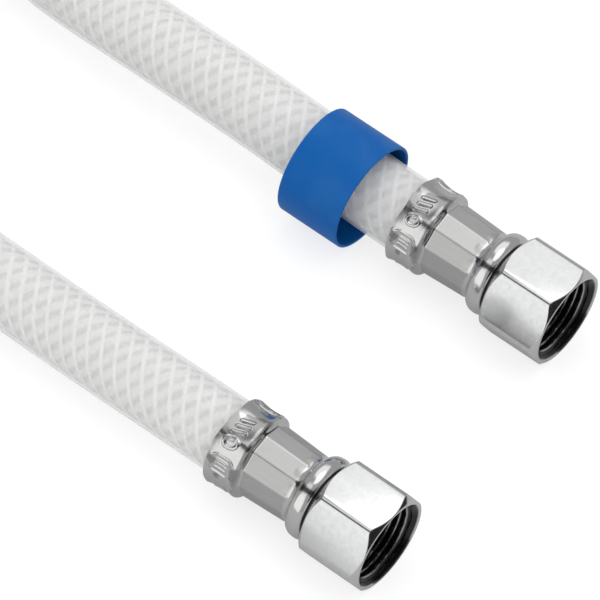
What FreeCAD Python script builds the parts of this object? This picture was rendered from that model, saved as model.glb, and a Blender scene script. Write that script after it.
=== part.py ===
import FreeCAD, Part
import math
import os

# Flexible braided supply line: one reinforced PVC hose with a crimped fitting and a swivel nut on each end,
# and a loose blue marker sleeve on the hose behind end A.
# +X points out of both nut mouths, +Z is up, z = 0 is the surface that the line lies on.
# The origin is on that surface, midway between the two fittings.
# Each fitting piece is drawn with its nut's mouth at x = 0 on the X axis, then put in place at both ends.

# Driving dimensions, in millimetres
ACROSS_FLATS = 19.0
NUT_LENGTH = 13.5
NUT_FACE_RADIUS = 9.4
NUT_CHAMFER_ANGLE = 43.0
HEX_EDGE_RADIUS = 2.0
THREAD_MINOR_RADIUS = 7.475
THREAD_START = 1.6
THREAD_END = 8.3
MOUTH_RADIUS = 8.9
RELIEF_RADIUS = 8.4
REAR_WALL = 1.5
NECK_CLEARANCE = 0.1

WASHER_FRONT = 8.5
WASHER_THICKNESS = 1.5
WASHER_INNER_RADIUS = 4.3
WASHER_OUTER_RADIUS = 7.4
SEAT_GAP = 0.05

FLANGE_THICKNESS = 1.3
FLANGE_RADIUS = 7.1
NECK_RADIUS = 6.0
BORE_RADIUS = 3.7
SHANK_RADIUS = 4.7
TAIL_END = 35.0
BARB_COUNT = 4
BARB_PITCH = 4.2
BARB_LAND = 1.0
FIRST_BARB = 17.1
TAIL_TIP_RADIUS = 4.3
TAIL_TIP_LENGTH = 0.8

FERRULE_FRONT = 14.1
FERRULE_FRONT_WALL = 1.2
FERRULE_FRONT_RADIUS = 7.4
FERRULE_REAR = 36.0
BEAD_FRONT = (14.8, 8.15)
BEAD_CREST = (16.4, 8.45)
BEAD_BACK = (17.6, 8.05)
BEAD_FOOT = (18.2, 7.35)
FILLET = (18.6, 7.1)
FILLET_RADIUS_AT_FACETS = 6.95
FACET_COUNT = 12
FACETS_START = 19.2
FACETS_END = 28.7
FACETS_START_RADIUS = 7.1
FACETS_END_RADIUS = 7.5
FACETS_SHOULDER = (29.2, 8.25)
BAND_START = (30.4, 8.6)
BAND_WAIST = (32.9, 8.5)
BAND_WALL = 0.55
RIM_RADIUS = 8.85
RIM_EDGE = (0.2, 0.15)
OVERLAP = 0.1

HOSE_RADIUS = 7.5
HOSE_BORE_RADIUS = 5.0
HOSE_END = 15.5
CRIMP_START_RADIUS = 6.55
CRIMP_WAIST = 17.5
CRIMP_FRONT_RADIUS = 6.3
CRIMP_BACK_RADIUS = 6.7
CRIMP_END = 28.5
CRIMP_SHOULDER = 29.4

SLEEVE_OUTER_RADIUS = 11.1
SLEEVE_WALL = 0.6
SLEEVE_LENGTH = 13.9
SLEEVE_GAP = 8.2
SLEEVE_SIDE_SHIFT = 2.38
SLEEVE_FLOOR_GAP = 0.02
SLEEVE_EDGE = 0.2

AXIS_HEIGHT = ACROSS_FLATS / 2
AXIS_SPACING = 62.0
END_STAGGER = 6.0
MOUTH_B_X = (END_STAGGER + FERRULE_REAR) / 2
MOUTH_A_X = MOUTH_B_X - END_STAGGER

# The hose's middle line outside the crimps, from end A round the loop to end B.
# It leaves each ferrule level, rises a little over its own set, and lies on the surface from there on.
ROUTE_START_A = (MOUTH_A_X - CRIMP_SHOULDER, AXIS_SPACING / 2, AXIS_HEIGHT)
ROUTE_START_B = (MOUTH_B_X - CRIMP_SHOULDER, -AXIS_SPACING / 2, AXIS_HEIGHT)
ROUTE = [
    ROUTE_START_A,
    (-30, 31, 9.5),
    (-56, 31, 11.6),
    (-82, 31, 11.7),
    (-114, 32, 9.9),
    (-144, 42, 7.5),
    (-192, 81, 7.5),
    (-236, 89, 7.5),
    (-278, 75, 7.5),
    (-308, 43, 7.5),
    (-319, 0, 7.5),
    (-308, -43, 7.5),
    (-278, -75, 7.5),
    (-236, -89, 7.5),
    (-192, -81, 7.5),
    (-144, -42, 7.5),
    (-114, -31, 8.8),
    (-80, -31, 9.4),
    (-50, -31, 8.8),
    (-24, -31, 9.5),
    ROUTE_START_B,
]
ARC_SHARE = 0.45

# Each layer of the hose: bore and outside radius when free, then the same inside the crimp.
# The right-hand yarns are wound last, over the left-hand ones.
LAYERS = {
    "hose_liner": (HOSE_BORE_RADIUS, 6.5, HOSE_BORE_RADIUS, 5.7),
    "hose_yarns_left_hand": (6.5, 6.75, 5.7, 5.85),
    "hose_yarns_right_hand": (6.75, 7.0, 5.85, 6.0),
}
COVER_BORE_RADIUS = 7.0
COVER_CRIMPED_BORE_RADIUS = 6.0

ORIGIN = FreeCAD.Vector(0, 0, 0)
X_AXIS = FreeCAD.Vector(1, 0, 0)


def profile_point(station):
    """A (depth behind the mouth, radius) pair as a point in the XZ plane."""
    depth, radius = station
    return FreeCAD.Vector(-depth, 0, radius)


def turned(start, *steps):
    """A solid turned about X. A step is the next corner, or a (through, end) pair for an arc."""
    edges = []
    here = profile_point(start)
    for step in steps:
        if isinstance(step[0], tuple):
            through = profile_point(step[0])
            end = profile_point(step[1])
            edges.append(Part.Arc(here, through, end).toShape())
        else:
            end = profile_point(step)
            edges.append(Part.LineSegment(here, end).toShape())
        here = end
    edges.append(Part.LineSegment(here, profile_point(start)).toShape())
    face = Part.Face(Part.Wire(edges))
    return face.revolve(ORIGIN, X_AXIS, 360)


def polygon_wire(depth, corner_radius, count):
    """A regular polygon square to X with a corner on the Y axis."""
    corners = []
    for i in range(count + 1):
        angle = 2 * math.pi * i / count
        y = corner_radius * math.cos(angle)
        z = corner_radius * math.sin(angle)
        corners.append(FreeCAD.Vector(-depth, y, z))
    return Part.makePolygon(corners)


def tapered_polygon(front, front_radius, back, back_radius, count):
    wires = [polygon_wire(front, front_radius, count), polygon_wire(back, back_radius, count)]
    return Part.makeLoft(wires, True, True)


def swivel_nut():
    """Hexagon nut: rounded edges, chamfered ends, thread wall, relief, and a rear wall round the neck."""
    corner_radius = ACROSS_FLATS / math.sqrt(3)
    chamfer = (corner_radius - NUT_FACE_RADIUS) * math.tan(math.radians(NUT_CHAMFER_ANGLE))
    prism = tapered_polygon(0, corner_radius, NUT_LENGTH, corner_radius, 6)
    long_edges = [edge for edge in prism.Edges if abs(edge.Length - NUT_LENGTH) < 0.01]
    hexagon = prism.makeFillet(HEX_EDGE_RADIUS, long_edges)
    envelope = turned(
        (0, 0),
        (0, NUT_FACE_RADIUS),
        (chamfer, corner_radius),
        (NUT_LENGTH - chamfer, corner_radius),
        (NUT_LENGTH, NUT_FACE_RADIUS),
        (NUT_LENGTH, 0),
    )
    hole = turned(
        (-1, 0),
        (-1, MOUTH_RADIUS),
        (0, MOUTH_RADIUS),
        (THREAD_START, THREAD_MINOR_RADIUS),
        (THREAD_END, THREAD_MINOR_RADIUS),
        (THREAD_END, RELIEF_RADIUS),
        (NUT_LENGTH - REAR_WALL, RELIEF_RADIUS),
        (NUT_LENGTH - REAR_WALL, NECK_RADIUS + NECK_CLEARANCE),
        (NUT_LENGTH + 1, NECK_RADIUS + NECK_CLEARANCE),
        (NUT_LENGTH + 1, 0),
    )
    return hexagon.common(envelope).cut(hole)


def sealing_washer():
    back = WASHER_FRONT + WASHER_THICKNESS
    return turned(
        (WASHER_FRONT, WASHER_INNER_RADIUS),
        (WASHER_FRONT, WASHER_OUTER_RADIUS),
        (back, WASHER_OUTER_RADIUS),
        (back, WASHER_INNER_RADIUS),
    )


def hose_tail():
    """Insert with a flat sealing flange, a neck for the nut to turn on and a barbed shank."""
    flange_front = WASHER_FRONT + WASHER_THICKNESS + SEAT_GAP
    flange_back = flange_front + FLANGE_THICKNESS
    neck_end = FERRULE_FRONT + FERRULE_FRONT_WALL
    barbs = []
    for i in range(BARB_COUNT):
        front = FIRST_BARB + i * BARB_PITCH
        barbs.append((front, SHANK_RADIUS))
        barbs.append((front, HOSE_BORE_RADIUS))
        barbs.append((front + BARB_PITCH - BARB_LAND, SHANK_RADIUS))
    return turned(
        (flange_front, BORE_RADIUS),
        (flange_front, FLANGE_RADIUS),
        (flange_back, FLANGE_RADIUS),
        (flange_back, NECK_RADIUS),
        (neck_end, NECK_RADIUS),
        (neck_end, SHANK_RADIUS),
        *barbs,
        (TAIL_END - TAIL_TIP_LENGTH, SHANK_RADIUS),
        (TAIL_END, TAIL_TIP_RADIUS),
        (TAIL_END, BORE_RADIUS),
    )


def crimp_ferrule():
    """Stamped sleeve: rolled bead, twelve crimped flats, and a wide band that flares to a rim."""
    fillet_end = FACETS_START + OVERLAP
    bead = turned(
        (FERRULE_FRONT, 0),
        (FERRULE_FRONT, FERRULE_FRONT_RADIUS),
        (BEAD_FRONT, BEAD_CREST),
        (BEAD_BACK, BEAD_FOOT),
        (FILLET, (fillet_end, FILLET_RADIUS_AT_FACETS)),
        (fillet_end, 0),
    )
    flats = tapered_polygon(
        FACETS_START, FACETS_START_RADIUS, FACETS_END, FACETS_END_RADIUS, FACET_COUNT
    )
    waist_depth, waist_radius = BAND_WAIST
    rim_length, rim_drop = RIM_EDGE
    band = turned(
        (FACETS_END - OVERLAP, 0),
        (FACETS_END - OVERLAP, FACETS_START_RADIUS),
        (FACETS_END, FACETS_END_RADIUS),
        (FACETS_SHOULDER, BAND_START),
        (BAND_WAIST, (FERRULE_REAR - rim_length, RIM_RADIUS)),
        (FERRULE_REAR, RIM_RADIUS - rim_drop),
        (FERRULE_REAR, 0),
    )
    shoulder_slope = (HOSE_RADIUS - CRIMP_BACK_RADIUS) / (CRIMP_SHOULDER - CRIMP_END)
    band_bore = BAND_START[1] - BAND_WALL
    shoulder_end = CRIMP_END + (band_bore - CRIMP_BACK_RADIUS) / shoulder_slope
    hollow = turned(
        (FERRULE_FRONT - 1, 0),
        (FERRULE_FRONT - 1, NECK_RADIUS),
        (FERRULE_FRONT + FERRULE_FRONT_WALL, NECK_RADIUS),
        (FERRULE_FRONT + FERRULE_FRONT_WALL, CRIMP_START_RADIUS),
        (CRIMP_WAIST, CRIMP_START_RADIUS),
        (FACETS_START, CRIMP_FRONT_RADIUS),
        (CRIMP_END, CRIMP_BACK_RADIUS),
        (shoulder_end, band_bore),
        ((waist_depth, waist_radius - BAND_WALL), (FERRULE_REAR, RIM_RADIUS - BAND_WALL)),
        (FERRULE_REAR + 1, RIM_RADIUS - BAND_WALL),
        (FERRULE_REAR + 1, 0),
    )
    return bead.fuse(flats).fuse(band).cut(hollow).removeSplitter()


def crimped_layer(bore, outside, crimped_bore, crimped_outside):
    """The end of an inner layer of the hose, squeezed inside the ferrule."""
    return turned(
        (HOSE_END, crimped_bore),
        (HOSE_END, crimped_outside),
        (CRIMP_END, crimped_outside),
        (CRIMP_SHOULDER, outside),
        (CRIMP_SHOULDER, bore),
        (CRIMP_END, crimped_bore),
    )


def crimped_cover():
    """The end of the hose's cover, which fills the ferrule's inside."""
    return turned(
        (HOSE_END, COVER_CRIMPED_BORE_RADIUS),
        (HOSE_END, CRIMP_START_RADIUS),
        (CRIMP_WAIST, CRIMP_START_RADIUS),
        (FACETS_START, CRIMP_FRONT_RADIUS),
        (CRIMP_END, CRIMP_BACK_RADIUS),
        (CRIMP_SHOULDER, HOSE_RADIUS),
        (CRIMP_SHOULDER, COVER_BORE_RADIUS),
        (CRIMP_END, COVER_CRIMPED_BORE_RADIUS),
    )


def at_end_a(shape):
    return shape.translated(FreeCAD.Vector(MOUTH_A_X, AXIS_SPACING / 2, AXIS_HEIGHT))


def at_end_b(shape):
    return shape.translated(FreeCAD.Vector(MOUTH_B_X, -AXIS_SPACING / 2, AXIS_HEIGHT))


def route_wire(points):
    """Straight runs joined by tangent arcs, each as large as its two runs allow. Prints the radii."""
    places = [FreeCAD.Vector(*point) for point in points]
    edges = []
    radii = []
    here = places[0]
    for before, corner, after in zip(places, places[1:], places[2:]):
        back = (before - corner).normalize()
        ahead = (after - corner).normalize()
        reach = ARC_SHARE * min((before - corner).Length, (after - corner).Length)
        half_turn = (math.pi - back.getAngle(ahead)) / 2
        radius = reach / math.tan(half_turn)
        arc_start = corner + back * reach
        arc_end = corner + ahead * reach
        middle = (back + ahead).normalize()
        through = corner + middle * (radius / math.cos(half_turn) - radius)
        edges.append(Part.LineSegment(here, arc_start).toShape())
        edges.append(Part.Arc(arc_start, through, arc_end).toShape())
        radii.append(radius)
        here = arc_end
    edges.append(Part.LineSegment(here, places[-1]).toShape())
    print("bend radii, mm:", [round(radius) for radius in radii])
    return Part.Wire(edges)


def hose_tube(path, bore, outside):
    """A plain tube along the route, with its volume compared with its section times its length."""
    start = FreeCAD.Vector(*ROUTE[0])
    rings = []
    for radius in (outside, bore):
        rings.append(Part.Wire(Part.Circle(start, X_AXIS, radius).toShape()))
    section = Part.Face(rings)
    tube = path.makePipe(section)
    expected = section.Area * path.Length
    print("tube volume over section times length:", round(tube.Volume / expected, 5))
    return tube


def marker_sleeve():
    """A short loose tube that stands on the surface and leans on the hose."""
    bore = SLEEVE_OUTER_RADIUS - SLEEVE_WALL
    sleeve = turned(
        (0, bore),
        (0, SLEEVE_OUTER_RADIUS - SLEEVE_EDGE),
        (SLEEVE_EDGE, SLEEVE_OUTER_RADIUS),
        (SLEEVE_LENGTH - SLEEVE_EDGE, SLEEVE_OUTER_RADIUS),
        (SLEEVE_LENGTH, SLEEVE_OUTER_RADIUS - SLEEVE_EDGE),
        (SLEEVE_LENGTH, bore),
    )
    front = MOUTH_A_X - FERRULE_REAR - SLEEVE_GAP
    side = AXIS_SPACING / 2 - SLEEVE_SIDE_SHIFT
    height = SLEEVE_OUTER_RADIUS + SLEEVE_FLOOR_GAP
    return sleeve.translated(FreeCAD.Vector(front, side, height))


def export(shape, node):
    shape.exportStep("parts/" + node + ".step")
    box = shape.optimalBoundingBox(False)
    low = (round(box.XMin, 2), round(box.YMin, 2), round(box.ZMin, 2))
    high = (round(box.XMax, 2), round(box.YMax, 2), round(box.ZMax, 2))
    print(node, "valid" if shape.isValid() else "INVALID", len(shape.Solids), "solid", low, high)


os.makedirs("parts", exist_ok=True)

fitting_pieces = {
    "swivel_nut": swivel_nut(),
    "sealing_washer": sealing_washer(),
    "hose_tail": hose_tail(),
    "crimp_ferrule": crimp_ferrule(),
}
for name, piece in fitting_pieces.items():
    export(at_end_a(piece), name + "_a")
    export(at_end_b(piece), name + "_b")

route = route_wire(ROUTE)
print("hose length between the crimps, mm:", round(route.Length, 1))
for name, (bore, outside, crimped_bore, crimped_outside) in LAYERS.items():
    crimped_end = crimped_layer(bore, outside, crimped_bore, crimped_outside)
    layer = hose_tube(route, bore, outside)
    export(layer.fuse([at_end_a(crimped_end), at_end_b(crimped_end)]), name)

cover = hose_tube(route, COVER_BORE_RADIUS, HOSE_RADIUS)
cover_end = crimped_cover()
export(cover.fuse([at_end_a(cover_end), at_end_b(cover_end)]), "hose_cover")
export(marker_sleeve(), "marker_sleeve")
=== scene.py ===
import math
import bmesh
import bpy
import numpy as np
from mathutils import Matrix, Vector


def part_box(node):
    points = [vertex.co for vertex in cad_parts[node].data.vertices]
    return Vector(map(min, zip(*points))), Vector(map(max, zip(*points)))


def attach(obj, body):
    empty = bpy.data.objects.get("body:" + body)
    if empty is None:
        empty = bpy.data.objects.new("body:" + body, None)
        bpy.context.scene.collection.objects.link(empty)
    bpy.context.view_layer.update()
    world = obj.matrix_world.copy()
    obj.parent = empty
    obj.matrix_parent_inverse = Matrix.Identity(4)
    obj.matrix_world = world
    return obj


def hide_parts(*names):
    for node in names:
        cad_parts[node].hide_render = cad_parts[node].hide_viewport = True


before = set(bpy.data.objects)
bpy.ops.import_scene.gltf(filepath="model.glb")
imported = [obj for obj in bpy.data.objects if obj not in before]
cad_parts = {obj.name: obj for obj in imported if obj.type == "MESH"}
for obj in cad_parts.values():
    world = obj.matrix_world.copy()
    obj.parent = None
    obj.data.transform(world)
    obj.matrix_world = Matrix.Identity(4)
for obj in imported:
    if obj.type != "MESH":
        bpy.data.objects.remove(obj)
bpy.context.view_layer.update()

# ---- The hose's middle line ----------------------------------------------------------------------------
# The hose is one cut length of soft plastic tube, held at both ends by its crimps. It leaves each ferrule
# level, rises a little over its own set, and lies on the surface in the loop it is put away in.
MM = 0.001
FULL_TURN = 2 * math.pi
HOSE_END_DEPTH = 15.5
LINE_STEPS = 48
ROUTE = [
    (-0.0144, 0.031, 0.0095),
    (-0.030, 0.031, 0.0095),
    (-0.056, 0.031, 0.0116),
    (-0.082, 0.031, 0.0117),
    (-0.114, 0.032, 0.0099),
    (-0.144, 0.042, 0.0075),
    (-0.192, 0.081, 0.0075),
    (-0.236, 0.089, 0.0075),
    (-0.278, 0.075, 0.0075),
    (-0.308, 0.043, 0.0075),
    (-0.319, 0.0, 0.0075),
    (-0.308, -0.043, 0.0075),
    (-0.278, -0.075, 0.0075),
    (-0.236, -0.089, 0.0075),
    (-0.192, -0.081, 0.0075),
    (-0.144, -0.042, 0.0075),
    (-0.114, -0.031, 0.0088),
    (-0.080, -0.031, 0.0094),
    (-0.050, -0.031, 0.0088),
    (-0.024, -0.031, 0.0095),
    (-0.0084, -0.031, 0.0095),
]

# The middle of each fitting's open mouth, on the axis that its nut turns about.
mouths = {}
for letter in "ab":
    low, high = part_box("swivel_nut_" + letter)
    mouths[letter] = Vector((high.x, (low.y + high.y) / 2, (low.z + high.z) / 2))

cut_ends = [mouth - Vector((HOSE_END_DEPTH * MM, 0, 0)) for mouth in mouths.values()]
line_curve = bpy.data.curves.new("hose_line", "CURVE")
line_curve.dimensions = "3D"
line_curve.resolution_u = LINE_STEPS
line_spline = line_curve.splines.new("NURBS")
line_points = [cut_ends[0], *ROUTE, cut_ends[1]]
line_spline.points.add(len(line_points) - 1)
for spline_point, place in zip(line_spline.points, line_points):
    spline_point.co = (*place, 1)
line_spline.order_u = 3
line_spline.use_endpoint_u = True
line_object = bpy.data.objects.new("hose_line", line_curve)
line_mesh = bpy.data.meshes.new_from_object(line_object)
hose_line = np.array([vertex.co for vertex in line_mesh.vertices])
bpy.data.objects.remove(line_object)
bpy.data.meshes.remove(line_mesh)

line_steps = np.linalg.norm(np.diff(hose_line, axis=0), axis=1)
line_distance = np.concatenate([[0], np.cumsum(line_steps)])
HOSE_LENGTH = line_distance[-1]


def across_line(distance):
    """The middle line's points at these distances from end A's cut, and the two directions across it."""
    columns = [np.interp(distance, line_distance, hose_line[:, axis]) for axis in range(3)]
    middle = np.stack(columns, axis=1)
    ahead = np.gradient(middle, distance, axis=0)
    side = np.cross((0, 0, 1), ahead)
    side /= np.linalg.norm(side, axis=1, keepdims=True)
    up = np.cross(ahead, side)
    up /= np.linalg.norm(up, axis=1, keepdims=True)
    return middle, side, up


# ---- Hose liner ----------------------------------------------------------------------------------------
# The inner tube that carries the water: smooth milky PVC, extruded first, so that the yarns are wound on it.
# It is squeezed onto the barbs of the tail inside each crimp.
LINER_BORE = 5.0
LINER_RADIUS = 6.5
LINER_SQUEEZED = 5.7
CRIMP_LENGTH = 13.0
SHOULDER_LENGTH = 0.9
SHOULDER_END = CRIMP_LENGTH + SHOULDER_LENGTH
AROUND_HOSE = 72
HOSE_RING_SPACING = 2.2 * MM


def crimped(distance, free, squeezed):
    """A radius along the hose, in millimetres: squeezed inside both crimps and free between them."""
    from_end = np.minimum(distance, HOSE_LENGTH - distance) / MM
    return np.interp(from_end, [CRIMP_LENGTH, SHOULDER_END], [squeezed, free])


def ring_distances():
    """Where the hose's rings of points are: close together over the crimps' shoulders."""
    shoulder = np.array([0, CRIMP_LENGTH, CRIMP_LENGTH + SHOULDER_LENGTH / 2, SHOULDER_END]) * MM
    count = int((HOSE_LENGTH - 2 * shoulder[-1]) / HOSE_RING_SPACING)
    between = np.linspace(shoulder[-1], HOSE_LENGTH - shoulder[-1], count)
    return np.concatenate([shoulder[:-1], between, (HOSE_LENGTH - shoulder[:-1])[::-1]])


def woven(name, grid, place, joined=True, sharp=35):
    """A mesh of quads over a grid of points whose columns close round. Its rows close too if joined,
    or else get end caps. Edges above the sharp angle, in degrees, stay crisp. The mesh keeps each
    point's place on the straight piece, for its material."""
    rows, columns = grid.shape[:2]
    number = np.arange(rows * columns).reshape(rows, columns)
    if joined:
        near, far = number, np.roll(number, -1, axis=0)
    else:
        near, far = number[:-1], number[1:]
    quads = np.stack([near, np.roll(near, -1, axis=1), np.roll(far, -1, axis=1), far], axis=-1)
    faces = quads.reshape(-1, 4).tolist()
    if not joined:
        faces += [number[0].tolist(), number[-1].tolist()]
    mesh = bpy.data.meshes.new(name)
    mesh.from_pydata(grid.reshape(-1, 3).tolist(), [], faces)
    where = mesh.attributes.new("place", "FLOAT_VECTOR", "POINT")
    where.data.foreach_set("vector", place.reshape(-1).astype(np.float32))
    working = bmesh.new()
    working.from_mesh(mesh)
    bmesh.ops.recalc_face_normals(working, faces=working.faces)
    for edge in working.edges:
        if edge.calc_face_angle(0) > math.radians(sharp):
            edge.smooth = False
    for face in working.faces:
        face.smooth = True
    working.to_mesh(mesh)
    working.free()
    piece = bpy.data.objects.new(name, mesh)
    bpy.context.scene.collection.objects.link(piece)
    return piece


def hose_layer(name, bore, outside):
    """A closed tube along the hose: bore and outside give the radius at each ring."""
    distance = ring_distances()
    middle, side, up = across_line(distance)
    angle = np.arange(AROUND_HOSE) * FULL_TURN / AROUND_HOSE
    skins = []
    places = []
    for radius in (outside(distance), bore(distance)):
        level = radius[:, None, None] * MM
        cosine = np.cos(angle)[None, :, None]
        sine = np.sin(angle)[None, :, None]
        skins.append(middle[:, None] + level * (cosine * side[:, None] + sine * up[:, None]))
        flat = np.broadcast_to(distance[:, None, None], (len(distance), AROUND_HOSE, 1))
        places.append(np.concatenate([flat, level * cosine, level * sine], axis=2))
    grid = np.concatenate([skins[0], skins[1][::-1]])
    return woven(name, grid, np.concatenate([places[0], places[1][::-1]]))


class Wire:
    """One output of a material's nodes. Sums and products of wires add the Math nodes that they need."""

    def __init__(self, tree, socket=None):
        self.tree = tree
        self.socket = socket

    def node(self, kind, settings, inputs, output=0):
        """Adds a node of this type: its settings are set first, then its sockets' values and links."""
        made = self.tree.nodes.new("ShaderNode" + kind)
        for setting, value in settings.items():
            setattr(made, setting, value)
        for socket, value in inputs.items():
            if isinstance(value, Wire):
                self.tree.links.new(value.socket, made.inputs[socket])
            else:
                made.inputs[socket].default_value = value
        return Wire(self.tree, made.outputs[output])

    def math(self, operation, first, second=0.0):
        return self.node("Math", {"operation": operation}, {0: first, 1: second})

    def __add__(self, other):
        return self.math("ADD", self, other)

    def __radd__(self, other):
        return self.math("ADD", other, self)

    def __sub__(self, other):
        return self.math("SUBTRACT", self, other)

    def __rsub__(self, other):
        return self.math("SUBTRACT", other, self)

    def __mul__(self, other):
        return self.math("MULTIPLY", self, other)

    def __rmul__(self, other):
        return self.math("MULTIPLY", other, self)

    def __truediv__(self, other):
        return self.math("DIVIDE", self, other)

    def between(self, low, high):
        """0 below low and 1 above high, with a smooth step from one to the other."""
        settings = {"interpolation_type": "SMOOTHSTEP"}
        return self.node("MapRange", settings, {"Value": self, "From Min": low, "From Max": high})

    def mix(self, none, full):
        """The colour none where this wire is 0, and the colour full where it is 1."""
        return self.node("Mix", {"data_type": "RGBA"}, {0: self, 6: none, 7: full}, 2)

    def stretched(self, along, around, across):
        """This place scaled on each axis, in repeats per metre, for a pattern that is longer one way."""
        return self.node("VectorMath", {"operation": "MULTIPLY"}, {0: self, 1: (along, around, across)})

    def noise(self, detail=3.0, roughness=0.55, distortion=0.0):
        """Noise from 0 to 1 at this place."""
        inputs = {
            "Vector": self,
            "Scale": 1.0,
            "Detail": detail,
            "Roughness": roughness,
            "Distortion": distortion,
        }
        return self.node("TexNoise", {}, inputs)

    def dot(self, direction):
        """The dot product of this vector and a fixed one."""
        return self.node("VectorMath", {"operation": "DOT_PRODUCT"}, {0: self, 1: direction}, 1)

    def from_axis(self):
        """The distance of this place from the X axis."""
        ring = self.stretched(0, 1, 1)
        return self.node("VectorMath", {"operation": "LENGTH"}, {0: ring}, 1)

    def along_axis(self):
        """This place's X."""
        return self.node("SeparateXYZ", {}, {0: self})

    def bump(self, strength, height_mm):
        """A normal from this height, which is from 0 to 1 and this many millimetres deep."""
        return self.node("Bump", {}, {"Height": self, "Strength": strength, "Distance": height_mm * MM})


def new_material(name):
    """An empty material, its output, and a first wire: the place kept in the mesh."""
    material = bpy.data.materials.new(name)
    material.use_nodes = True
    tree = material.node_tree
    tree.nodes.clear()
    place = Wire(tree).node("Attribute", {"attribute_name": "place"}, {}, 1)
    return material, place


def surface(place, **inputs):
    """Joins the principled shader and the material's output. Names are the shader's sockets in lower case."""
    sockets = {name.replace("_", " ").title().replace("Ior", "IOR"): value for name, value in inputs.items()}
    shader = place.node("BsdfPrincipled", {}, sockets)
    output = place.tree.nodes.new("ShaderNodeOutputMaterial")
    place.tree.links.new(shader.socket, output.inputs["Surface"])


# The milky liner is painted dark grey: painted shade in the gaps between the yarns, seen through the cover.
# It varies at random between two greys.
LINER_MILK_PAINTED_SHADE = (0.28, 0.28, 0.275, 1)
LINER_CLOUD_PAINTED_SHADE = (0.22, 0.22, 0.215, 1)

liner_material, place = new_material("liner_milky_pvc_painted_shade")
cloud = place.stretched(60, 300, 300).noise()
draw_lines = place.stretched(25, 2600, 2600).noise(2.0)
surface(
    place,
    base_color=cloud.mix(LINER_CLOUD_PAINTED_SHADE, LINER_MILK_PAINTED_SHADE),
    roughness=0.30 + 0.15 * cloud,
    normal=draw_lines.bump(0.3, 0.03),
)

hose_liner = hose_layer(
    "hose_liner_tube",
    lambda distance: np.full_like(distance, LINER_BORE),
    lambda distance: crimped(distance, LINER_RADIUS, LINER_SQUEEZED),
)
hose_liner.data.materials.append(liner_material)
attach(hose_liner, "hose")
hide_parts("hose_liner")

# ---- Reinforcing yarns ---------------------------------------------------------------------------------
# Two families of eight flat polyester yarns, wound on the liner in opposite hands while it is soft.
# They carry the water's pressure. The right-hand family is wound last, so it lies over the other.
YARNS_IN_FAMILY = 8
YARN_LEAD = 25.5
YARN_HALF_THICKNESS = 0.12
POINTS_PER_TURN = 30
POINTS_ROUND_YARN = 8
LEFT_HAND_RADIUS = 6.63
LEFT_HAND_SQUEEZED = 5.8
LEFT_HAND_WIDTH = 1.7
RIGHT_HAND_RADIUS = 6.87
RIGHT_HAND_SQUEEZED = 5.94
RIGHT_HAND_WIDTH = 0.8
WANDER_WAVES = 3
SHORTEST_WAVE = 30
LONGEST_WAVE = 110
TURN_WANDER = 0.05
WIDTH_WANDER = 0.18
yarn_random = np.random.default_rng(5)


def slow_wander(distance, amount):
    """A gentle, uneven wander along the hose, made of a few waves of random length."""
    total = np.zeros_like(distance)
    for wave in range(WANDER_WAVES):
        length = yarn_random.uniform(SHORTEST_WAVE, LONGEST_WAVE) * MM
        phase = yarn_random.uniform(0, FULL_TURN)
        total += np.sin(distance * FULL_TURN / length + phase)
    return total * amount / WANDER_WAVES


def yarn_family(name, hand, radius, squeezed, width):
    """Eight flat yarns wound round the hose, right-handed where hand is 1 and left-handed where it is -1."""
    count = int(HOSE_LENGTH / (YARN_LEAD * MM) * POINTS_PER_TURN)
    distance = np.linspace(0, HOSE_LENGTH, count)
    middle, side, up = across_line(distance)
    section = np.arange(POINTS_ROUND_YARN) * FULL_TURN / POINTS_ROUND_YARN
    strands = []
    for number in range(YARNS_IN_FAMILY):
        start = number / YARNS_IN_FAMILY * FULL_TURN
        turn = start + hand * distance * FULL_TURN / (YARN_LEAD * MM) + slow_wander(distance, TURN_WANDER)
        outward = np.cos(turn)[:, None] * side + np.sin(turn)[:, None] * up
        level = crimped(distance, radius, squeezed) * MM
        centre = middle + level[:, None] * outward
        ahead = np.gradient(centre, axis=0)
        flatwise = np.cross(outward, ahead)
        flatwise /= np.linalg.norm(flatwise, axis=1, keepdims=True)
        half_width = width / 2 * MM * (1 + slow_wander(distance, WIDTH_WANDER))
        wide = half_width[:, None, None] * np.cos(section)[None, :, None] * flatwise[:, None]
        thick = YARN_HALF_THICKNESS * MM * np.sin(section)[None, :, None] * outward[:, None]
        length = np.concatenate([[0], np.cumsum(np.linalg.norm(np.diff(centre, axis=0), axis=1))])
        place = np.zeros((count, POINTS_ROUND_YARN, 3))
        place[:, :, 0] = length[:, None] + number
        place[:, :, 1] = half_width[:, None] * np.cos(section)
        place[:, :, 2] = YARN_HALF_THICKNESS * MM * np.sin(section)
        strands.append(woven(f"{name}_{number}", centre[:, None] + wide + thick, place, False, 80))
    family = strands[0]
    with bpy.context.temp_override(active_object=family, selected_editable_objects=strands):
        bpy.ops.object.join()
    family.name = name
    return family


def yarn_material(name, white, shade):
    """Bundles of fine polyester fibres, from white to a slight shade between them."""
    material, place = new_material(name)
    fibres = place.stretched(120, 9000, 9000).noise(2.0)
    slubs = place.stretched(300, 40, 40).noise()
    surface(
        place,
        base_color=(fibres * 0.5 + slubs * 0.5).mix(shade, white),
        roughness=0.42 + 0.2 * fibres,
        sheen_weight=0.15,
        normal=fibres.bump(0.5, 0.04),
    )
    return material


OVER_YARNS = yarn_material("yarn_polyester_over", (0.96, 0.96, 0.955, 1), (0.86, 0.86, 0.855, 1))
# The under family is the same yarn, painted darker: painted shade for lying deeper, under the over yarns and
# more of the cover.
UNDER_YARNS_PAINTED_SHADE = yarn_material("yarn_polyester_under_painted_shade", (0.76, 0.76, 0.755, 1), (0.68, 0.68, 0.675, 1))

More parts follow.
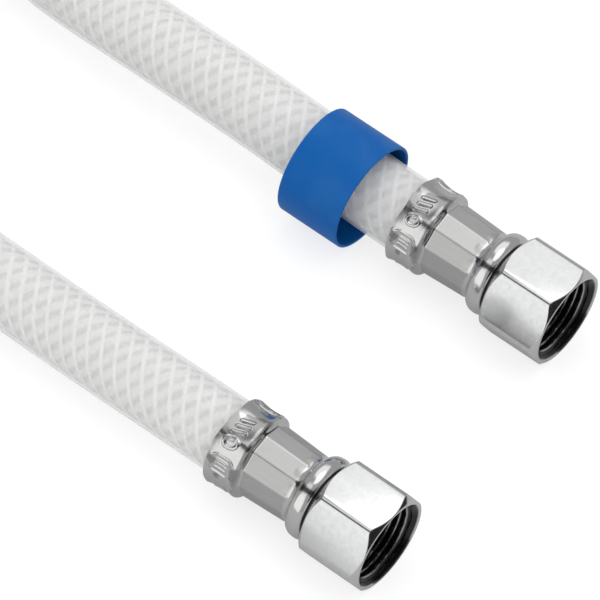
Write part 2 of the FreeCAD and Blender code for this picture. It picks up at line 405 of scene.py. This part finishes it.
for name, node, hand, radius, squeezed, width, material in (
    (
        "hose_yarns_under",
        "hose_yarns_left_hand",
        -1,
        LEFT_HAND_RADIUS,
        LEFT_HAND_SQUEEZED,
        LEFT_HAND_WIDTH,
        UNDER_YARNS_PAINTED_SHADE,
    ),
    (
        "hose_yarns_over",
        "hose_yarns_right_hand",
        1,
        RIGHT_HAND_RADIUS,
        RIGHT_HAND_SQUEEZED,
        RIGHT_HAND_WIDTH,
        OVER_YARNS,
    ),
):
    family = yarn_family(name, hand, radius, squeezed, width)
    family.data.materials.append(material)
    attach(family, "hose")
    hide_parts(node)

# ---- Hose cover ----------------------------------------------------------------------------------------
# The outer tube, extruded over the yarns: soft clear PVC with a slight milkiness, so that the yarns show
# through it. Its ends are squeezed under the ferrules.
COVER_BORE = 7.0
COVER_BORE_SQUEEZED = 6.06
COVER_RADIUS = 7.5
COVER_END_STATIONS = [0, 2.0, 3.7, CRIMP_LENGTH, SHOULDER_END]
COVER_END_RADII = [6.5, 6.5, 6.28, 6.68, COVER_RADIUS]
COVER_ALPHA = 0.45
COVER_MILK = (0.83, 0.83, 0.825, 1)
COVER_CLEAR = (0.79, 0.79, 0.785, 1)


def cover_outside(distance):
    """The cover's radius along the hose, in millimetres: it takes the ferrule's shape inside each crimp."""
    from_end = np.minimum(distance, HOSE_LENGTH - distance) / MM
    return np.interp(from_end, COVER_END_STATIONS, COVER_END_RADII)


cover_material, place = new_material("cover_clear_pvc")
cloud = place.stretched(45, 220, 220).noise()
die_lines = place.stretched(8, 1500, 1500).noise(2.0)
dimples = place.stretched(500, 500, 500).noise()
surface(
    place,
    base_color=cloud.mix(COVER_CLEAR, COVER_MILK),
    roughness=0.22 + 0.12 * dimples,
    alpha=COVER_ALPHA,
    normal=(die_lines * 0.6 + dimples * 0.4).bump(0.35, 0.05),
)

hose_cover = hose_layer(
    "hose_cover_tube",
    lambda distance: crimped(distance, COVER_BORE, COVER_BORE_SQUEEZED),
    cover_outside,
)
hose_cover.data.materials.append(cover_material)
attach(hose_cover, "hose")
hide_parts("hose_cover")

# ---- Hose tails ----------------------------------------------------------------------------------------
# Turned brass inserts: a flat flange that the washer seals on, a neck that the nut turns on, and a barbed
# shank pushed into the liner. The CAD parts stay, with fine lathe lines round their own axis.
BRASS = (0.66, 0.50, 0.26, 1)
BRASS_DULL = (0.50, 0.37, 0.18, 1)
LATHE_LINES = 9000

for letter, mouth in mouths.items():
    tail_material, place = new_material("turned_brass_" + letter)
    place = place.node("TexCoord", {}, {}, 3)
    from_mouth = place.node("VectorMath", {"operation": "SUBTRACT"}, {0: place, 1: mouth})
    depth = from_mouth.along_axis() * LATHE_LINES
    radius = from_mouth.from_axis() * LATHE_LINES
    lathe = place.node("CombineXYZ", {}, {0: depth, 1: radius}).noise(2.0)
    stain = from_mouth.stretched(350, 350, 350).noise()
    surface(
        place,
        base_color=stain.between(0.35, 0.7).mix(BRASS, BRASS_DULL),
        metallic=1.0,
        roughness=0.22 + 0.14 * lathe,
        normal=lathe.bump(0.4, 0.02),
    )
    for material_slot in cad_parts["hose_tail_" + letter].material_slots:
        material_slot.material = tail_material

# ---- Crimp ferrules ------------------------------------------------------------------------------------
# Thin stamped steel sleeves, rolled to a bead at the nut's end, squeezed by a twelve-jaw press into flats,
# and left wide over the hose, with a band of raised maker's pads and a slightly flared, uneven rim.
# Each station is a depth behind the nut's mouth and a radius, in millimetres.
FERRULE_FRONT = 14.1
BEAD_START = (FERRULE_FRONT, 7.45)
BEAD_RISE = (14.8, 8.15)
BEAD_CREST = (16.4, 8.45)
BEAD_FALL = (17.6, 8.05)
BEAD_END = (18.2, 7.35)
NECK_BEND = (18.6, 7.1)
NECK_END = (19.3, 6.95)
FLATS_START = 19.2
FLATS_END = 28.7
FLATS_START_RADIUS = 7.1
FLATS_END_RADIUS = 7.5
FLAT_COUNT = 12
FLAT_CREASE = 0.035
BAND_START = (FLATS_END, 7.3)
BAND_RISE = (29.15, 8.2)
BAND_CORNER = (30.4, 8.6)
BAND_WAIST = (32.9, 8.4)
RIM_DEPTH = 35.9
RIM = (RIM_DEPTH, 8.9)
AROUND_FERRULE = 432
NECK_ROWS = np.linspace(19.3, 20.5, 7)
FLAT_ROWS = np.linspace(21.0, 28.4, 12)
EDGE_ROWS = [FLATS_END - 0.12, FLATS_END - 0.04]
BAND_ROWS = np.linspace(30.55, RIM_DEPTH, 44)
BEAD_FADE = 1.3
BAND_TAKEOVER = 1.0
DENTS_START = 29.3
DENTS_FULL = 31.5
MARKS_START = 29.9
MARKS_FULL = 30.7
MARKS_FADE = 35.4
MARKS_END = 35.8
CREASE_BLEND = 0.03
FLAT_DENTS = 0.012
BAND_DENTS = 0.22
INSIDE_DENTS = 0.1
RIM_UNEVENNESS = 0.22

# The rim's lip, as steps from the band's last station, and the inside, as stations from the rim to the nut.
LIP_BACK = [0.08, 0.11, 0.06]
LIP_DROP = [0.10, 0.27, 0.46]
FERRULE_INSIDE = [
    (35.0, 8.05),
    (33.5, 7.98),
    (32.0, 7.95),
    (30.5, 7.95),
    (29.9, 7.9),
    (29.1, 7.3),
    (28.5, 6.75),
    (25.5, 6.6),
    (22.5, 6.47),
    (19.3, 6.35),
    (17.7, 6.6),
    (15.3, 6.6),
    (15.3, 6.0),
    (14.1, 6.0),
]
INSIDE_WIDE_FROM = 30.5
FRONT_SAG = 0.02
FRONT_RADII = [6.2, 7.25]

# The pads of one group on the band: a height, a centre (its depth, and its distance round the band), half
# a length, half a width, a slant and the softness of the edge. A negative height clears a ring's inside.
MARKS_RADIUS = 8.6
MARKS_FACING = 128
MARK_GROUPS = 3
MARKS = [
    *[(0.2, (33.0, centre), 1.15, 0.34, 0.35, 0.14) for centre in (-5.4, -4.05, -2.7)],
    (0.2, (33.1, -0.3), 0.3, 1.3, 0.3, 0.16),
    (-0.2, (33.1, -0.3), 0.3, 0.72, 0.3, 0.16),
    (0.2, (32.9, 4.7), 0.9, 2.15, 0.0, 0.18),
    (-0.2, (32.9, 4.7), 0.9, 1.75, 0.0, 0.18),
    *[(0.16, (32.9, centre), 0.95, 0.22, 0.0, 0.12) for centre in (3.85, 4.7, 5.55)],
]


def arc(start, through, end, steps):
    """Points on the arc from start through a middle point to its end, without its start."""
    ax, ay = start
    bx, by = through
    cx, cy = end
    twice = 2 * (ax * (by - cy) + bx * (cy - ay) + cx * (ay - by))
    a2, b2, c2 = ax * ax + ay * ay, bx * bx + by * by, cx * cx + cy * cy
    ox = (a2 * (by - cy) + b2 * (cy - ay) + c2 * (ay - by)) / twice
    oy = (a2 * (cx - bx) + b2 * (ax - cx) + c2 * (bx - ax)) / twice
    radius = math.hypot(ax - ox, ay - oy)
    first = math.atan2(ay - oy, ax - ox)
    middle = (math.atan2(by - oy, bx - ox) - first + math.pi) % FULL_TURN - math.pi
    last = (math.atan2(cy - oy, cx - ox) - first + math.pi) % FULL_TURN - math.pi
    if middle * last < 0:
        last += math.copysign(FULL_TURN, middle)
    turns = first + np.linspace(0, last, steps + 1)[1:]
    return list(zip(ox + radius * np.cos(turns), oy + radius * np.sin(turns)))


def soft_max(first, second, blend):
    """The larger of two radii, with their crossing rounded over about this many millimetres."""
    return (first + second + np.sqrt((first - second) ** 2 + blend * blend)) / 2


def soft_step(value, low, high):
    """0 below low and 1 above high, with a smooth step from one to the other."""
    share = np.clip((value - low) / (high - low), 0, 1)
    return share * share * (3 - 2 * share)


ARC_STEPS = 12
bead_points = [BEAD_START]
bead_points += arc(BEAD_START, BEAD_RISE, BEAD_CREST, ARC_STEPS)
bead_points += arc(BEAD_CREST, BEAD_FALL, BEAD_END, ARC_STEPS)
bead_points += arc(BEAD_END, NECK_BEND, NECK_END, 6)
band_points = [BAND_START]
band_points += arc(BAND_START, BAND_RISE, BAND_CORNER, ARC_STEPS)
band_points += arc(BAND_CORNER, BAND_WAIST, RIM, 10)


def pad(depth, sweep, centre, half_length, half_width, slant, edge):
    """1 on a raised bar with round ends, 0 outside. Its centre is a depth and a distance round the band."""
    along = (depth - centre[0]) * math.cos(slant) + (sweep - centre[1]) * math.sin(slant)
    across = (sweep - centre[1]) * math.cos(slant) - (depth - centre[0]) * math.sin(slant)
    past = np.maximum(np.abs(along) - half_length, 0)
    return 1 - soft_step(np.hypot(past, across), half_width - edge, half_width + edge)


def maker_marks(depth, angle):
    """The height of the band's raised pads and bars, in millimetres: three like groups round it."""
    height = np.zeros(np.broadcast(depth, angle).shape)
    for group in range(MARK_GROUPS):
        facing = math.radians(MARKS_FACING + 360 / MARK_GROUPS * group)
        sweep = ((angle - facing + math.pi) % FULL_TURN - math.pi) * MARKS_RADIUS
        for raised, *shape in MARKS:
            height += raised * pad(depth, sweep, *shape)
    return height


def hammered(depth, angle, seed, amount):
    """Low, uneven waves that the press leaves in thin metal."""
    chance = np.random.default_rng(seed)
    total = np.zeros(np.broadcast(depth, angle).shape)
    for lobes in (2, 3, 5, 7, 11):
        phase = chance.uniform(0, FULL_TURN)
        lean = chance.uniform(-0.5, 0.5)
        total += np.sin(lobes * angle + phase + lean * depth) / lobes**0.5
    return total * amount / 2


def fitting_mesh(name, letter, depth, radius, angle, sharp):
    """A closed turned or pressed piece: depths behind the nut's mouth and radii from its axis, in mm."""
    place = np.stack([-depth, radius * np.cos(angle), radius * np.sin(angle)], axis=-1) * MM
    return woven(name, place + np.array(mouths[letter]), place, True, sharp)


def crimp_ferrule(letter, seed):
    """The whole sleeve: bead, twelve flats, band with its marks, uneven rim and inside, back to the front."""
    angle = (np.arange(AROUND_FERRULE) * FULL_TURN / AROUND_FERRULE)[None, :]
    bead_rows = [depth for depth, radius in bead_points[:-1]]
    shoulder_rows = [depth for depth, radius in band_points[: ARC_STEPS + 1]]
    depth = np.concatenate([bead_rows, NECK_ROWS, FLAT_ROWS, EDGE_ROWS, shoulder_rows, BAND_ROWS])[:, None]
    corner = np.interp(depth, [FLATS_START, FLATS_END], [FLATS_START_RADIUS, FLATS_END_RADIUS])
    flat_step = FULL_TURN / FLAT_COUNT
    from_flat_middle = angle % flat_step - flat_step / 2
    flats = corner * math.cos(flat_step / 2) / np.cos(from_flat_middle)
    flats = np.minimum(flats, corner - FLAT_CREASE) + hammered(depth, angle, seed, FLAT_DENTS)
    bead = np.interp(depth, *zip(*bead_points))
    band = np.interp(depth, *zip(*band_points))
    fillet = np.where(depth < FLATS_START + BEAD_FADE, bead, 0)
    radius = np.where(depth < FLATS_START, bead, soft_max(fillet, flats, CREASE_BLEND))
    taken_over = soft_step(depth, FLATS_END - 0.01, FLATS_END + BAND_TAKEOVER)
    radius = np.where(depth >= FLATS_END, flats + (band - flats) * taken_over, radius)
    dents = soft_step(depth, DENTS_START, DENTS_FULL) * hammered(depth, angle, seed + 1, BAND_DENTS)
    marked = soft_step(depth, MARKS_START, MARKS_FULL) * (1 - soft_step(depth, MARKS_FADE, MARKS_END))
    marks = marked * maker_marks(depth, angle)
    radius = radius + dents + marks
    unevenness = hammered(depth * 0, angle, seed + 2, RIM_UNEVENNESS)
    outer_depth = depth + soft_step(depth, DENTS_FULL, RIM_DEPTH) * unevenness
    lip_depth = outer_depth[-1:] + np.array(LIP_BACK)[:, None]
    lip_radius = radius[-1:] - np.array(LIP_DROP)[:, None]
    inner_depth, inner_radius = np.array(FERRULE_INSIDE).T[:, :, None] + 0 * angle[None]
    inner_dents = hammered(inner_depth, angle, seed + 1, INSIDE_DENTS)
    inner_dents = np.where(inner_depth > INSIDE_WIDE_FROM, inner_dents, 0)
    front_depth = np.full((len(FRONT_RADII), AROUND_FERRULE), FERRULE_FRONT - FRONT_SAG)
    front_radius = np.array(FRONT_RADII)[:, None] + 0 * angle
    all_depth = np.concatenate([outer_depth, lip_depth, inner_depth, front_depth])
    all_radius = np.concatenate([radius, lip_radius, inner_radius + inner_dents, front_radius])
    return fitting_mesh("crimp_ferrule_" + letter + "_stamped", letter, all_depth, all_radius, angle, 28)


STEEL_BRIGHT = (0.68, 0.68, 0.675, 1)
STEEL_GREY = (0.36, 0.36, 0.357, 1)

ferrule_material, place = new_material("ferrule_stamped_steel")
depth = place.along_axis() * (-1 / MM)
on_flats = depth.between(19.0, 19.7) * (1 - depth.between(28.5, 29.0))
on_band = depth.between(28.9, 29.9)
brushed = place.stretched(90, 5200, 5200).noise(3.0)
grain = place.stretched(2600, 2600, 2600).noise(2.0)
mottle = place.stretched(420, 420, 420).noise(3.0, 0.6, 0.8)
# Random dark blotches on the band.
band_blotches = on_band * place.stretched(170, 170, 170).noise(2.0).between(0.53, 0.60)
grey = on_flats * (0.75 - 0.5 * brushed) + on_band * 0.3 * mottle + band_blotches
surface(
    place,
    base_color=grey.mix(STEEL_BRIGHT, STEEL_GREY),
    metallic=1.0,
    roughness=0.13 + on_flats * (0.20 + 0.12 * brushed) + on_band * 0.12 * mottle,
    normal=(brushed * on_flats + grain * 0.5 + mottle * on_band).bump(0.35, 0.04),
)

for letter, seed in (("a", 11), ("b", 31)):
    ferrule = crimp_ferrule(letter, seed)
    ferrule.data.materials.append(ferrule_material)
    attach(ferrule, "hose")
    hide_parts("crimp_ferrule_" + letter)

# ---- Sealing washers -----------------------------------------------------------------------------------
# Flat black rubber rings, loose in each nut between the tail's flange and the pipe end that is screwed in.
# The CAD parts stay, with the slightly dusty, pitted skin of moulded rubber.
RUBBER = (0.018, 0.018, 0.019, 1)
RUBBER_DUST = (0.06, 0.06, 0.058, 1)

washer_material, place = new_material("washer_black_rubber")
place = place.node("TexCoord", {}, {}, 3)
dust = place.stretched(900, 900, 900).noise(4.0)
pits = place.stretched(4000, 4000, 4000).noise(2.0)
surface(
    place,
    base_color=dust.between(0.45, 0.75).mix(RUBBER, RUBBER_DUST),
    roughness=0.55 + 0.25 * dust,
    normal=pits.bump(0.5, 0.05),
)
for letter in "ab":
    for material_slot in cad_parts["sealing_washer_" + letter].material_slots:
        material_slot.material = washer_material

# ---- Swivel nuts ---------------------------------------------------------------------------------------
# Hexagon nuts that turn freely on the tails' necks: brass bar, drilled and tapped G 3/8, chamfered at both
# ends, polished and chrome plated. The bore is painted darker, and the thread's roots near black: painted
# shade.
nut_low, nut_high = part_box("swivel_nut_a")
ACROSS_FLATS = 2 * mouths["a"].z / MM
NUT_LENGTH = (nut_high.x - nut_low.x) / MM
HEX_EDGE_RADIUS = 2.0
HEX_EDGE_STEPS = 14
FLAT_STEPS = 18
FACE_RADIUS = 9.4
MOUTH_RADIUS = 8.9
CHAMFER_SLOPE = math.tan(math.radians(43))
THREAD_PITCH = 1.337
THREAD_MINOR = 7.475
THREAD_MAJOR = 8.33
THREAD_END = 8.3
THREAD_ROWS = 120
COUNTERSINK_DEPTH = 1.6
RELIEF_RADIUS = 8.4
REAR_WALL = 1.5
REAR_HOLE = 6.1
NUT_EASE = 0.14
NUT_EASE_STEPS = 4
THREAD_ROUNDNESS = 0.35
THREAD_BLEND = 0.03


def hexagon_outline():
    """Angles and radii round a hexagon with softened edges, in order from just before the edge on +Y."""
    corner = ACROSS_FLATS / math.sqrt(3)
    centre = corner - HEX_EDGE_RADIUS / math.cos(math.radians(30))
    outline = []
    for edge in range(6):
        facing = math.radians(60 * edge)
        for turn in np.linspace(-math.radians(30), math.radians(30), HEX_EDGE_STEPS + 1):
            y = centre * math.cos(facing) + HEX_EDGE_RADIUS * math.cos(facing + turn)
            z = centre * math.sin(facing) + HEX_EDGE_RADIUS * math.sin(facing + turn)
            outline.append((y, z))
        after = facing + math.radians(60)
        last = np.array(outline[-1])
        turn = after - math.radians(30)
        first_y = centre * math.cos(after) + HEX_EDGE_RADIUS * math.cos(turn)
        first_z = centre * math.sin(after) + HEX_EDGE_RADIUS * math.sin(turn)
        for share in np.linspace(0, 1, FLAT_STEPS + 1)[1:-1]:
            outline.append(tuple(last + share * (np.array((first_y, first_z)) - last)))
    outline = np.array(outline)
    return np.arctan2(outline[:, 1], outline[:, 0]), np.hypot(outline[:, 0], outline[:, 1])


def eased(corners, ease, steps):
    """A chain of (depth, radius) corners, each an array round the piece, with its inner corners rounded."""
    chain = [corners[0]]
    for before, corner, after in zip(corners, corners[1:], corners[2:]):
        back = before - corner
        ahead = after - corner
        back_length = np.linalg.norm(back, axis=0)
        ahead_length = np.linalg.norm(ahead, axis=0)
        start = corner + back * np.minimum(ease / back_length, 0.4)
        end = corner + ahead * np.minimum(ease / ahead_length, 0.4)
        for share in np.linspace(0, 1, steps):
            chain.append((1 - share) ** 2 * start + 2 * share * (1 - share) * corner + share**2 * end)
    chain.append(corners[-1])
    return chain


def swivel_nut(letter):
    """The nut from its mouth over the outside to the back, through the rear hole and down the thread."""
    angle, hexagon = hexagon_outline()
    ones = np.ones_like(angle)

    def station(depth, radius):
        return np.stack([depth * ones, radius * ones])

    chamfer = (hexagon - FACE_RADIUS) * CHAMFER_SLOPE
    outside = eased(
        [
            station(0, MOUTH_RADIUS),
            station(0, FACE_RADIUS),
            station(chamfer, hexagon),
            station(NUT_LENGTH - chamfer, hexagon),
            station(NUT_LENGTH, FACE_RADIUS),
            station(NUT_LENGTH, REAR_HOLE),
            station(NUT_LENGTH - REAR_WALL, REAR_HOLE),
            station(NUT_LENGTH - REAR_WALL, RELIEF_RADIUS),
            station(THREAD_END + 0.1, RELIEF_RADIUS),
        ],
        NUT_EASE,
        NUT_EASE_STEPS,
    )
    thread_depth = np.linspace(THREAD_END, 0.02, THREAD_ROWS)[:, None]
    turn = thread_depth / THREAD_PITCH - angle[None, :] / FULL_TURN
    saw = np.abs(2 * (turn % 1) - 1)
    rounded = soft_step(saw, -0.12, 1.12)
    profile = THREAD_ROUNDNESS * rounded + (1 - THREAD_ROUNDNESS) * saw
    thread = THREAD_MINOR + (THREAD_MAJOR - THREAD_MINOR) * profile
    sink = MOUTH_RADIUS - thread_depth * (MOUTH_RADIUS - THREAD_MINOR) / COUNTERSINK_DEPTH
    bore = soft_max(thread, sink, THREAD_BLEND)
    depth = np.concatenate([np.array([row[0] for row in outside]), thread_depth + 0 * angle[None, :]])
    radius = np.concatenate([np.array([row[1] for row in outside]), bore])
    return fitting_mesh("swivel_nut_" + letter + "_plated", letter, depth, radius, angle[None, :], 50)


CHROME = (0.72, 0.725, 0.725, 1)
CHROME_HAZE = (0.665, 0.67, 0.67, 1)
THREAD_PAINTED_SHADE = (0.05, 0.05, 0.05, 1)

nut_material, place = new_material("nut_chrome_plate")
depth = place.along_axis() * (-1 / MM)
radius = place.from_axis() / MM
# Painted shade: the bore is darkened, and the thread's roots most, towards near black.
inside = (1 - radius.between(8.75, 8.9)) * depth.between(0.05, 0.35)
root_shade = inside * radius.between(7.6, 7.85)
polish = place.stretched(140, 3200, 3200).noise(3.0)
haze = place.stretched(900, 900, 900).noise(4.0, 0.6, 0.5)
peel = place.stretched(3400, 3400, 3400).noise(2.0)
plated = haze.between(0.35, 0.75).mix(CHROME, CHROME_HAZE)
surface(
    place,
    base_color=(0.35 * inside + 0.65 * root_shade).mix(plated, THREAD_PAINTED_SHADE),
    metallic=1.0,
    roughness=0.10 + 0.06 * haze + 0.05 * polish + 0.10 * inside,
    normal=(polish * 0.35 + peel * 0.65).bump(0.25, 0.008),
)

for letter in "ab":
    nut = swivel_nut(letter)
    nut.data.materials.append(nut_material)
    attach(nut, "nut_" + letter)
    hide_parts("swivel_nut_" + letter)

# ---- Marker sleeve -------------------------------------------------------------------------------------
# A short slice of blue plastic tube, threaded on the hose before the last crimp to tell this line from
# others. It is loose: it stands on the surface, leans on the hose and slides along it.
sleeve_low, sleeve_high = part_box("marker_sleeve")
SLEEVE_RADIUS = (sleeve_high.y - sleeve_low.y) / 2 / MM
SLEEVE_WALL = 0.6
SLEEVE_LENGTH = (sleeve_high.x - sleeve_low.x) / MM
SLEEVE_SKEW = 0.12
SKEW_FACING = 0.8
SLEEVE_EASE = 0.22
SLEEVE_EASE_STEPS = 5
AROUND_SLEEVE = 180
SLEEVE_BLUE = (0.0, 0.088, 0.33, 1)
SLEEVE_PALE = (0.006, 0.098, 0.335, 1)
SLEEVE_DEEP = (0.0, 0.075, 0.30, 1)

sleeve_middle = (sleeve_low + sleeve_high) / 2
angle = (np.arange(AROUND_SLEEVE) * FULL_TURN / AROUND_SLEEVE)[None, :]
ones = np.ones(AROUND_SLEEVE)
half = SLEEVE_LENGTH / 2
bore = SLEEVE_RADIUS - SLEEVE_WALL
slice_corners = [
    (0, SLEEVE_RADIUS),
    (half, SLEEVE_RADIUS),
    (half, bore),
    (-half, bore),
    (-half, SLEEVE_RADIUS),
    (0, SLEEVE_RADIUS),
]
corner_rows = [np.stack([along * ones, radius * ones]) for along, radius in slice_corners]
slice_rows = eased(corner_rows, SLEEVE_EASE, SLEEVE_EASE_STEPS)[:-1]
along = np.array([row[0] for row in slice_rows])
radius = np.array([row[1] for row in slice_rows])
along = along + SLEEVE_SKEW * np.sin(angle + SKEW_FACING) * along / half
place = np.stack([along, radius * np.cos(angle), radius * np.sin(angle)], axis=-1) * MM
marker_sleeve = woven("marker_sleeve_tube", place + np.array(sleeve_middle), place, True, 40)

sleeve_material, place = new_material("sleeve_blue_plastic")
bloom = place.stretched(90, 130, 130).noise(3.0, 0.5, 0.6)
saw_marks = place.stretched(2500, 300, 300).noise(2.0)
extruded = place.stretched(60, 1800, 1800).noise(2.0)
blue = bloom.between(0.4, 0.65).mix(SLEEVE_BLUE, SLEEVE_PALE)
surface(
    place,
    base_color=(extruded.between(0.6, 0.85) * 0.4).mix(blue, SLEEVE_DEEP),
    roughness=0.36 + 0.12 * bloom,
    specular_ior_level=0.14,
    normal=(extruded * 0.7 + saw_marks * 0.3).bump(0.25, 0.04),
)
marker_sleeve.data.materials.append(sleeve_material)
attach(marker_sleeve, "marker")
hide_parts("marker_sleeve")

# ---- Floor, light and camera ---------------------------------------------------------------------------
# A plain pale floor in a bright white tent, with one soft lamp above. Reflections see the tent dimmer, with
# three brighter panels and a dark seam, a greyer floor and two dark cards, so that the metal has contrast.
FLOOR_RADIUS = 4.0
FLOOR_GLOW = 0.72
FLOOR_GREY = (0.3, 0.3, 0.3, 1)
FLOOR_REFLECTED = (0.25, 0.25, 0.25, 1)
WHITE = (1, 1, 1, 1)
TENT_STRENGTH = 1.15
REFLECTED_STRENGTH = 0.42
SEAM_ACROSS = (0, 0.844, 0.537)
SEAM_EDGE = 0.09
SEAM_END = 0.15
SEAM_DARKNESS = 0.95

# Each panel: the way to its middle, the cosines of the angles where it ends and is full, and its strength.
TENT_PANELS = [
    ((-0.32, 0.51, 0.80), 0.89, 0.95, 0.70),
    ((-0.33, -0.90, 0.28), 0.82, 0.92, 0.74),
    ((-0.32, -0.50, 0.80), 0.90, 0.96, 0.55),
]
LAMP_PLACE = Vector((-0.05, 0.2, 1.1))
LAMP_SIZE = 0.9
LAMP_POWER = 2.0
VIEW_FROM = (0.324, -0.508, 0.798)
VIEW_TARGET = Vector((-0.02531, 0.00196, 0.0095))
VIEW_DISTANCE = 1.2
VIEW_ROLL = math.radians(6.88)
LENS = 389.6

floor_mesh = bpy.data.meshes.new("floor")
floor_working = bmesh.new()
bmesh.ops.create_circle(floor_working, cap_ends=True, segments=96, radius=FLOOR_RADIUS)
floor_working.to_mesh(floor_mesh)
floor_working.free()
floor = bpy.data.objects.new("floor", floor_mesh)
bpy.context.scene.collection.objects.link(floor)
floor_material, place = new_material("floor_pale")
reflected = place.node("LightPath", {}, {}, "Is Glossy Ray")
surface(
    place,
    base_color=FLOOR_GREY,
    roughness=0.9,
    emission_color=reflected.mix(WHITE, FLOOR_REFLECTED),
    emission_strength=FLOOR_GLOW,
    specular_ior_level=0.0,
)
floor_mesh.materials.append(floor_material)

LOW_FLAG = [(0.085, -0.09, 0.001), (0.085, 0.11, 0.001), (0.100, 0.11, 0.065), (0.100, -0.09, 0.065)]
FRONT_FLAG = [(0.34, -0.10, 0.16), (0.24, -0.32, 0.16), (0.24, -0.26, 0.42), (0.34, -0.04, 0.42)]


def flag(name, corners):
    """A dark card that only reflections see."""
    mesh = bpy.data.meshes.new(name)
    mesh.from_pydata(corners, [], [(0, 1, 2, 3)])
    mesh.materials.append(flag_material)
    card = bpy.data.objects.new(name, mesh)
    bpy.context.scene.collection.objects.link(card)
    card.visible_camera = False
    card.visible_diffuse = False
    card.visible_shadow = False
    card.visible_transmission = False


flag_material, place = new_material("flag_black")
surface(place, base_color=(0.01, 0.01, 0.01, 1), roughness=1.0, specular_ior_level=0.0)
flag("low_flag", LOW_FLAG)
flag("front_flag", FRONT_FLAG)

tent = bpy.data.worlds.new("light_tent")
tent.use_nodes = True
tent.node_tree.nodes.clear()
tent_start = Wire(tent.node_tree)
toward = tent_start.node("TexCoord", {}, {}, 0)
panels = 0.0
for facing, edge, middle, level in TENT_PANELS:
    panel = level * toward.dot(facing).between(edge, middle)
    panels = panel.math("MAXIMUM", panel, panels)
off_seam = toward.dot(SEAM_ACROSS)
seam = 1 - off_seam.math("ABSOLUTE", off_seam).between(SEAM_EDGE, SEAM_END)
reflected = tent_start.node("LightPath", {}, {}, "Is Glossy Ray")
reflected_strength = (REFLECTED_STRENGTH + panels) * (1 - SEAM_DARKNESS * seam)
strength = TENT_STRENGTH + reflected * (reflected_strength - TENT_STRENGTH)
background = tent_start.node("Background", {}, {"Color": WHITE, "Strength": strength})
world_output = tent.node_tree.nodes.new("ShaderNodeOutputWorld")
tent.node_tree.links.new(background.socket, world_output.inputs["Surface"])
bpy.context.scene.world = tent

lamp_data = bpy.data.lights.new("soft_overhead", "AREA")
lamp_data.shape = "DISK"
lamp_data.size = LAMP_SIZE
lamp_data.energy = LAMP_POWER
lamp = bpy.data.objects.new("soft_overhead", lamp_data)
lamp.location = LAMP_PLACE
lamp.rotation_euler = (-LAMP_PLACE).to_track_quat("-Z", "Y").to_euler()
bpy.context.scene.collection.objects.link(lamp)

# The view is along a fixed direction at the fittings, with a little roll.
view_direction = Vector(VIEW_FROM).normalized()
level = Vector((0, 0, 1)).cross(view_direction).normalized()
upward = view_direction.cross(level)
right = math.cos(VIEW_ROLL) * level + math.sin(VIEW_ROLL) * upward
top = math.cos(VIEW_ROLL) * upward - math.sin(VIEW_ROLL) * level
camera_data = bpy.data.cameras.new("camera")
camera_data.sensor_width = 36
camera_data.lens = LENS
camera = bpy.data.objects.new("camera", camera_data)
turned = Matrix((right, top, view_direction)).transposed().to_4x4()
camera.matrix_world = Matrix.Translation(VIEW_TARGET + VIEW_DISTANCE * view_direction) @ turned
bpy.context.scene.collection.objects.link(camera)
bpy.context.scene.camera = camera
bpy.context.scene.view_settings.view_transform = "Standard"
